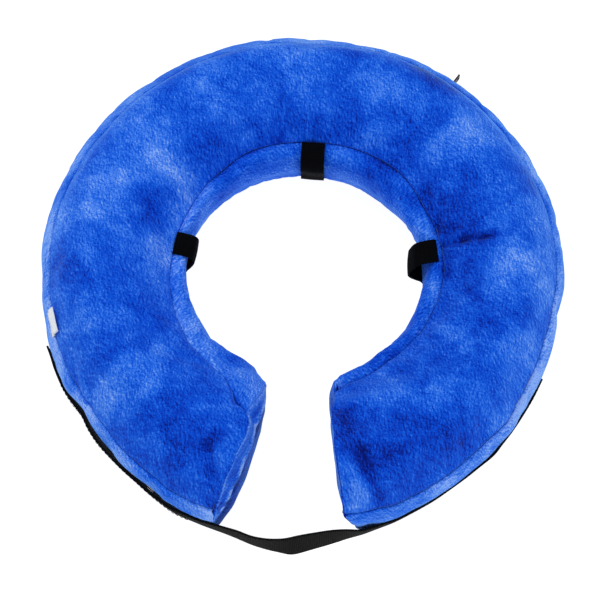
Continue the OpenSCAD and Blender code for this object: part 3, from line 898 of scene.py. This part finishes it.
def tucked(grid):
    """The grid with its four edges turned in under themselves, as at a seam."""
    rows, cols = grid.shape[:2]
    middle = cover.mean(axis=1)
    full = np.zeros((rows + 2, cols + 2, 3))
    full[1:-1, 1:-1] = grid
    for edge, inside in ((0, 1), (-1, -2)):
        inward = unit(middle - grid[:, edge])
        across = unit(grid[:, inside] - grid[:, edge])
        full[1:-1, edge] = grid[:, edge] + inward * TUCK_IN + across * TUCK_ACROSS
    for edge, row, inside in ((0, 1, 2), (-1, -2, -3)):
        into = unit(full[inside] - full[row])
        inward = unit(middle[edge] - full[row])
        full[edge] = full[row] + into * END_TUCK_ALONG + inward * END_TUCK_IN
    return full


def columns_of(name):
    """Columns of the grid that a panel takes, with both of its seams."""
    a, b = SEAMS[name]
    return [j % ROUND for j in range(a, b + 1)]


def band_uv(grid):
    """Along the ring by the middle column, across the band from its first edge."""
    along = length_along(grid[:, grid.shape[1] // 2])
    across = length_along(grid, 1)
    return together(along[:, None], across)


def make_panel(name, grid, tone, material, flat=False, skip=None):
    """A panel with its edges turned in, dressed as padded cloth."""
    full = tucked(grid)
    uv = full[:, :, :2] if flat else band_uv(full)
    faces = grid_faces(full, True)
    if skip is not None:
        faces = faces[~skip.ravel()]
    seam = np.pad(np.zeros(grid.shape[:2]), 1, constant_values=1.0)
    obj = new_mesh(name, full, faces, uv, seam=seam, tone=np.pad(tone, 1, mode="edge"))
    thicken(obj, FABRIC)
    dress(obj, material, "collar", "plush_cover", name)


for part, name, material in (("front", "front_panel", PLUSH_FRONT), ("back", "back_panel", PLUSH_BACK),
                             ("neck", "neck_band", PLUSH_NECK)):
    cols = columns_of(part)
    make_panel(name, cover[:, cols], cover_tone[:, cols], material, part != "neck")


def outer_wall():
    """The outer band again, with two of its columns moved to the edges of the zipper's opening."""
    band = cover[:, columns_of("outer")]
    place = length_along(band, 1)
    new = []
    for row, at in zip(band, place):
        fall = np.minimum.accumulate(row[:, 2])
        edges = [np.interp(-z, -fall, at) for z in (ZIP_Z + ZIP_HALF, ZIP_Z - ZIP_HALF)]
        spots = np.concatenate([np.linspace(0, edges[0], 9)[:-1], np.linspace(edges[0], edges[1], 5)[:-1],
                                np.linspace(edges[1], at[-1], 10)])
        new.append(picked(row, at, spots))
    return np.array(new)


WALL = outer_wall()
WALL_DEG = angle_of(WALL[:, 10])
OPEN_COLS = (8, 12)
OPEN_ROWS = tuple(int(abs(WALL_DEG - deg).argmin()) for deg in ZIP_SPAN)
ZIPPER_GAP = np.zeros((WALL.shape[0] + 1, WALL.shape[1] + 1), bool)
ZIPPER_GAP[OPEN_ROWS[0] + 1:OPEN_ROWS[1] + 1, OPEN_COLS[0] + 1:OPEN_COLS[1] + 1] = True
# Painted light on the outer band: lighter towards the front where sheen and light fall, painted shade along
# both seams, over a little random tone
WALL_TONE_AND_PAINTED_LIGHT = 0.08 * noise_at(WALL, 30 * MM, 62.0) + 0.26 * smooth(-WALL[:, :, 1], -70 * MM, 30 * MM)
WALL_TONE_AND_PAINTED_LIGHT[:, [0, -1]] -= 0.15
make_panel("outer_band", WALL, WALL_TONE_AND_PAINTED_LIGHT, PLUSH_OUTER, skip=ZIPPER_GAP)


# Share of the left end's height at which its folded edge stands out, and where its painted highlight and the
# split between painted lit and shaded facets lie
RIDGE_HEIGHT = 0.79


def end_panel(name, rings, loop, out, flip, painted_facet_light):
    """Soft end of the tube: a turned-in edge, then rings to a middle point."""
    middle = rings[-1][0] - out * 4 * MM
    under = loop + unit(middle - loop) * 1.2 * MM - out * 2.6 * MM
    layers = [under, loop, *rings[:-1]]
    moved, tone = [], []
    for share, layer in zip([0, 0, *CAP_SHARES], layers):
        stretch = layer * [1, 1, 2.2]
        fold = 0.6 * noise_at(stretch, 26 * MM, 21.0) + 0.4 * noise_at(stretch, 11 * MM, 22.0)
        moved.append(layer + out * (fold * smooth(share, 0, 0.2) * MM)[:, None])
        height = layer[:, 2] / front_height(radius_of(layer))
        # Painted light on the left end: the facet above the fold lighter and the one below darker as lit
        # from above, with painted highlights along the fold and the rim; both ends are painted darker
        # overall
        upper = smooth(height, RIDGE_HEIGHT - 0.05, RIDGE_HEIGHT)
        ridge = 1.1 * bell(height - RIDGE_HEIGHT, 0.024)
        edge = 0.4 * upper * bell(share - 0.04, 0.05)
        tone.append(painted_facet_light * (0.42 * upper + ridge + edge - 0.24) - 0.24)
    points = np.concatenate([*moved, rings[-1][:1]])
    cols = len(loop)
    seam = np.zeros(len(points))
    seam[:cols] = 1.0
    uv = together(radius_of(points), points[:, 2])
    faces = cap_faces(np.arange(cols), cols, len(layers) - 1, flip)
    obj = new_mesh(name, points, faces, uv, seam=seam, tone=np.concatenate([*tone, [0.0]]))
    thicken(obj, FABRIC)
    dress(obj, PLUSH_END, "collar", "plush_cover", name)


end_panel("left_end_panel", left_rings, cover[-1], left_out, False, 1.0)
end_panel("right_end_panel", right_rings, cover[0], right_out, True, 0.0)


# ---- collar loops ----

LOOP_W, LOOP_T = 15.4 * MM, 1.4 * MM


def collar_loop(name, deg, reach, start, tilt, fold, seed):
    """Webbing from the front seam over the neck band to the back seam, with its stitched ends."""
    seam = section(0.0, keyed(deg, SEAM_IN_R) * MM)[0]
    r = NECK_R - reach * MM
    neck = cover[abs(base_deg[:, 0] - deg).argmin(), SEAMS["neck"][0]:]
    wall_r = radius_of(neck) - sway(deg, NECK_R)
    down = [[np.interp(z, neck[:, 2], wall_r) - 1.6 * MM, z] for z in np.array([37, 31, 24, 17]) * MM]
    down[0][0] += 0.35 * (r - down[0][0])
    keys = [seam + [start * MM, 0.2 * MM], seam + [(start - 1.8) * MM, 1.5 * MM],
            [r + 6.0 * MM, seam[1] + 0.9 * MM], [r + 1.6 * MM, 50.5 * MM], [r, 46 * MM],
            [r + fold * MM, 42 * MM], *down,
            BACK_IN + [-1.6 * MM, -0.2 * MM], BACK_IN + [3.0 * MM, 1.0 * MM]]
    line = spline(keys, 8)
    place = length_along(line)
    heading = unit(np.gradient(line, axis=0))
    face = np.stack([-heading[:, 1], heading[:, 0]], -1)
    if face[len(face) // 2, 0] > 0:
        face = -face
    v = np.linspace(-0.5, 0.5, 9)[None]
    middle = bell(place / place[-1] - 0.5, 0.3)[:, None]
    rumple = noise_at(together(*line.T, 0.0), 15 * MM, seed)[:, None]
    bend = MM * (0.5 * rumple * (1 + v) - 0.6 * (2 * v) ** 2 * middle + 14 * tilt * v * middle)
    spot = line[:, None] + face[:, None] * bend[..., None]
    side = v * LOOP_W + tilt * middle * LOOP_W
    radius = spot[..., 0] + sway(np.full(side.shape, deg), spot[..., 0])
    points = polar(deg, radius, spot[..., 1]) + side[..., None] * polar(deg + 90, 1.0, 0.0)
    obj = new_mesh(name, points, grid_faces(points), together(place[:, None], side))
    thicken(obj, LOOP_T, offset=0, bevel=0.4 * MM)
    dress(obj, LOOP_CLOTH, "collar", "loop_webbing", name)
    normals = unit(np.cross(np.gradient(points, axis=0), np.gradient(points, axis=1)))
    if normals[10, 4] @ UP < 0:
        normals = -normals
    rows = [(points[k, 1:-1] + normals[k, 1:-1] * LOOP_T / 2, normals[k, 1:-1]) for k in (11, 13)]
    tack = stitches(name + "_bar_tack", rows, 1.3 * MM, 0.25 * MM, 0.18 * MM)
    dress(tack, THREAD, "collar", "loop_webbing")


collar_loop("collar_loop_left", 168.6, 5.2, 0.6, 0.06, 0.8, 31.0)
collar_loop("collar_loop_top", 85.3, 4.6, -0.2, -0.04, 0.6, 32.0)
collar_loop("collar_loop_right", 6.4, 8.2, -2.8, -0.22, 1.2, 33.0)


# ---- care label ----

def care_label():
    """Blank folded tape sewn in the outer seam, lying back against the rise of the front panel."""
    deg, length, height, gap = 193.8, 17 * MM, 8 * MM, 0.35 * MM
    row = abs(base_deg[:, SEAM_COLS[1]] - deg).argmin()
    foot = cover[row, SEAM_COLS[1]]
    out, along = polar(deg, 1.0, 0.0), polar(deg + 90, 1.0, 0.0)
    rise = cover[row, SEAM_COLS[1] - 6] - foot
    turn = np.linspace(0, math.pi, 7)
    rising = np.linspace(-2 * MM, height - gap, 7)
    profile = np.concatenate([
        np.stack([np.full(7, gap), rising], -1)[:-1],
        np.stack([gap * np.cos(turn), height - gap + gap * np.sin(turn)], -1),
        np.stack([np.full(7, -gap), rising[::-1]], -1)[1:]])
    u = np.linspace(-0.5, 0.5, 15)[:, None]
    side, tall = profile.T
    up = np.clip(tall / height, 0, 1)
    lean = math.atan2(-rise @ out, rise[2]) + math.radians(6) + 0.08 * u - 0.05 * up
    side = side + 2.0 * MM * smooth(up, 0, 0.35) + 0.3 * MM * np.sin(3.1 * u + 0.4) * up
    outward = side * np.cos(lean) - tall * np.sin(lean) + 0.6 * MM
    upward = side * np.sin(lean) + tall * np.cos(lean)
    across = (u * length)[..., None]
    points = foot + outward[..., None] * out + upward[..., None] * UP + across * along
    obj = new_mesh("care_label", points, grid_faces(points), together(u * length, tall))
    thicken(obj, 0.22 * MM, 0, 0)
    dress(obj, LABEL_CLOTH, "collar", "label_tape", "care_label")


care_label()


# ---- closure strap, its sewn end and its tapes ----

webbing_line = Ribbon(strap_line(ANCHOR_KEYS + GAP_KEYS + HOLD_KEYS))
webbing_strap = tape("closure_strap_webbing", webbing_line, STRAP_W, STRAP_T, 240,
                     slant=7 * MM, ripple=0.35 * MM, curl=0.15 * MM)
webbing_strap.data.materials.append(STRAP_CLOTH)
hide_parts("strap_anchor", "closure_strap")
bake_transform(webbing_strap)

pile_line = Ribbon(strap_line(held_run(np.linspace(249, 200, 16), WALL_RISE), PILE_OFF))
pile = tape("wall_pile_tape", pile_line, STRAP_W - 1 * MM, TAPE_T, 80)
dress(pile, PILE_TAPE, "collar", "pile_tape", "wall_pile_tape")
hook_line = Ribbon(strap_line(held_run(np.linspace(246, 204, 16)), HOOK_OFF))
hook = tape("strap_hook_tape", hook_line, STRAP_W - 2 * MM, TAPE_T, 80)
dress(hook, HOOK_TAPE, "strap", "hook_tape", "strap_hook_tape")


def sewn_box(name, start, end, body):
    """Lines of stitching round a rectangle on the webbing's outer face, between two lengths along it."""
    half = 9.5 * MM
    corners = [(start, -half), (end, -half), (end, half), (start, half), (start, -half)]
    lines = []
    for (a, v), (b, w) in zip(corners[:-1], corners[1:]):
        at = np.linspace(a, b, 80)
        points = webbing_line.at(at, np.linspace(v, w, 80), STRAP_T / 2 + 0.05 * MM)
        lines.append((points, picked(webbing_line.face, webbing_line.length, at)))
    dress(stitches(name, lines, 2.4 * MM, 0.8 * MM, 0.2 * MM), THREAD, body, "strap_webbing")


webbing_deg = angle_of(webbing_line.line)
order = np.argsort(webbing_deg)
held_a, held_b = np.interp([245 - 360, 205 - 360], webbing_deg[order], webbing_line.length[order])
sewn_box("strap_hook_stitching", held_a, held_b, "strap")
sewn_box("strap_anchor_stitching", 3 * MM, 22 * MM, "collar")


# ---- zipper ----

ZIP_TAPE_R = RING_R - 4.2 * MM
COIL_R = ZIP_TAPE_R + 0.63 * MM + 0.9 * MM
COIL_SPAN = (53.9, 159.7)


def zipper_tape(name, side):
    """Woven tape above (1) or below (-1) the coils."""
    degs = np.linspace(ZIP_SPAN[0] - 0.4, ZIP_SPAN[1] + 0.2, 180)[:, None]
    z = ZIP_Z + side * np.linspace(0.5 * MM, 6.6 * MM, 7)[None]
    wave = 0.12 * MM * np.sin(degs * 3.1) * abs(z - ZIP_Z) / (6 * MM)
    points = polar(degs, ZIP_TAPE_R + 0.3 * MM + wave, z)
    uv = together(np.radians(degs) * ZIP_TAPE_R, z)
    obj = new_mesh(name, points, grid_faces(points, side < 0), uv)
    thicken(obj, 0.45 * MM, 0, 0)
    dress(obj, ZIP_CLOTH, "collar", "zipper_tape", name)


def zipper_coil(name, side, phase):
    """One continuous coil of monofilament, whose turns mesh with the other row's."""
    pitch, wire, steps = 1.5 * MM, 0.3 * MM, 12
    length = math.radians(COIL_SPAN[1] - COIL_SPAN[0]) * COIL_R
    t = np.linspace(0, length / pitch, int(length / pitch) * steps)
    turn = 2 * math.pi * t + phase
    deg = COIL_SPAN[0] + (COIL_SPAN[1] - COIL_SPAN[0]) * t / t[-1]
    z = ZIP_Z + side * (1.05 * MM + 1.15 * MM * np.cos(turn))
    points = polar(deg, COIL_R + 0.6 * MM * np.sin(turn), z)
    coil = bpy.data.curves.new(name, "CURVE")
    coil.dimensions = "3D"
    coil.bevel_depth, coil.bevel_resolution, coil.use_fill_caps = wire, 2, True
    run = coil.splines.new("POLY")
    run.points.add(len(points) - 1)
    run.points.foreach_set("co", together(*points.T, 1.0).ravel())
    dress(linked(name, coil), COIL_PLASTIC, "collar", "zipper_coil", name)


zipper_tape("zipper_tape_upper", 1)
zipper_tape("zipper_tape_lower", -1)
zipper_coil("zipper_coil_upper", 1, 0.0)
zipper_coil("zipper_coil_lower", -1, math.pi)

edge_lines = []
for column, step in ((OPEN_COLS[0], -1), (OPEN_COLS[1], 1)):
    edge = WALL[OPEN_ROWS[0]:OPEN_ROWS[1] + 1]
    line = edge[:, column] + unit(edge[:, column + step] - edge[:, column]) * 2.2 * MM
    edge_lines.append((line, unit(line * [1, 1, 0])))
zip_seam = stitches("zipper_stitching", edge_lines, 2.6 * MM, 0.8 * MM, 0.24 * MM)
dress(zip_seam, BLUE_THREAD, "collar", "zipper_tape")
dress_nodes(ZIP_METAL, "zipper_top_stops", "zipper_bottom_stop", "zipper_slider", "zipper_pull_tab")


# ---- bladder and valve, inside the cover ----

VALVE_DEG = 105
VALVE_HOLE_R = 12 * MM
BLADDER_INSET = 7.2 * MM
bladder, _ = ring_points(BLADDER_INSET, RIGHT_END + 4, LEFT_END - 4, 150)
bladder += grid_normals(bladder) * (0.5 * MM * noise_at(bladder, 16 * MM, 51.0))[..., None]


def film_panel(name, part, hole=None):
    """A wall of the bladder, with a welded rim along both of its edges."""
    grid = bladder[:, columns_of(part)]
    rim = unit(grid - bladder.mean(axis=1)[:, None]) * 1.4 * MM
    full = np.concatenate([grid[:, :1] + rim[:, :1], grid, grid[:, -1:] + rim[:, -1:]], 1)
    faces = grid_faces(full, True)
    if hole is not None:
        middles = full.reshape(-1, 3)[faces].mean(1)
        faces = faces[np.linalg.norm(middles - hole, axis=1) > VALVE_HOLE_R]
    obj = new_mesh(name, full, faces)
    thicken(obj, FILM_T, 0)
    dress(obj, FILM, "collar", "bladder_film", name)


film_panel("bladder_front_film", "front")
film_panel("bladder_back_film", "back")
film_panel("bladder_inner_wall", "neck")
film_panel("bladder_outer_wall", "outer", polar(VALVE_DEG, RING_R - BLADDER_INSET, ZIP_Z))

verts, faces = [], []
for loop, way, flip in ((bladder[0], -1, True), (bladder[-1], 1, False)):
    rings, _ = cap_rings(loop, 1.5 * MM, way)
    first = sum(len(v) for v in verts)
    verts += [loop, *rings[:-1], rings[-1][:1]]
    faces += cap_faces(first + np.arange(ROUND), first + ROUND, len(rings) - 1, flip)
end_films = thicken(new_mesh("bladder_end_films", np.concatenate(verts), faces), FILM_T, 0)
dress(end_films, FILM, "collar", "bladder_film", "bladder_end_films")
dress_nodes(VALVE_PLASTIC, "valve_base", "valve_stem", "valve_cap")


# ---- camera, floor and light ----

TILT = math.radians(20.8)
DISTANCE = 1.34
LOOK_AT = Vector((-1.8 * MM, -14.6 * MM, 30 * MM))
FOCAL_LENGTH = 123.157
camera_data = bpy.data.cameras.new("camera")
camera_data.sensor_width = 36
camera_data.lens = FOCAL_LENGTH
camera = linked("camera", camera_data)
camera.location = LOOK_AT + DISTANCE * Vector((0, -math.sin(TILT), math.cos(TILT)))
camera.rotation_euler = (TILT, 0, 0)
scene = bpy.context.scene
scene.camera = camera

floor = new_mesh("floor", [(-3, -3, 0), (3, -3, 0), (3, 3, 0), (-3, 3, 0)], [(0, 1, 2, 3)])
floor.data.materials.append(Nodes("pale_floor").finish(0.9, 0.02, **{
    "Base Color": (0.3, 0.3, 0.3, 1), "Emission Color": (1, 1, 1, 1), "Emission Strength": 0.92}))

world = bpy.data.worlds.new("studio")
world.use_nodes = True
world.node_tree.nodes["Background"].inputs["Color"].default_value = (1, 1, 1, 1)
world.node_tree.nodes["Background"].inputs["Strength"].default_value = 0.62
scene.world = world
scene.view_settings.view_transform = "Standard"


def soft_light(name, place, size, power):
    data = bpy.data.lights.new(name, "AREA")
    data.shape, data.size, data.energy = "DISK", size, power
    light = linked(name, data)
    light.location = place
    light.rotation_euler = (Vector((0, 0, 0.04)) - Vector(place)).to_track_quat("-Z", "Y").to_euler()


soft_light("key_light", (-0.5, 0.5, 1.5), 0.9, 9)
soft_light("fill_light", (0.9, -0.9, 1.0), 1.0, 5)
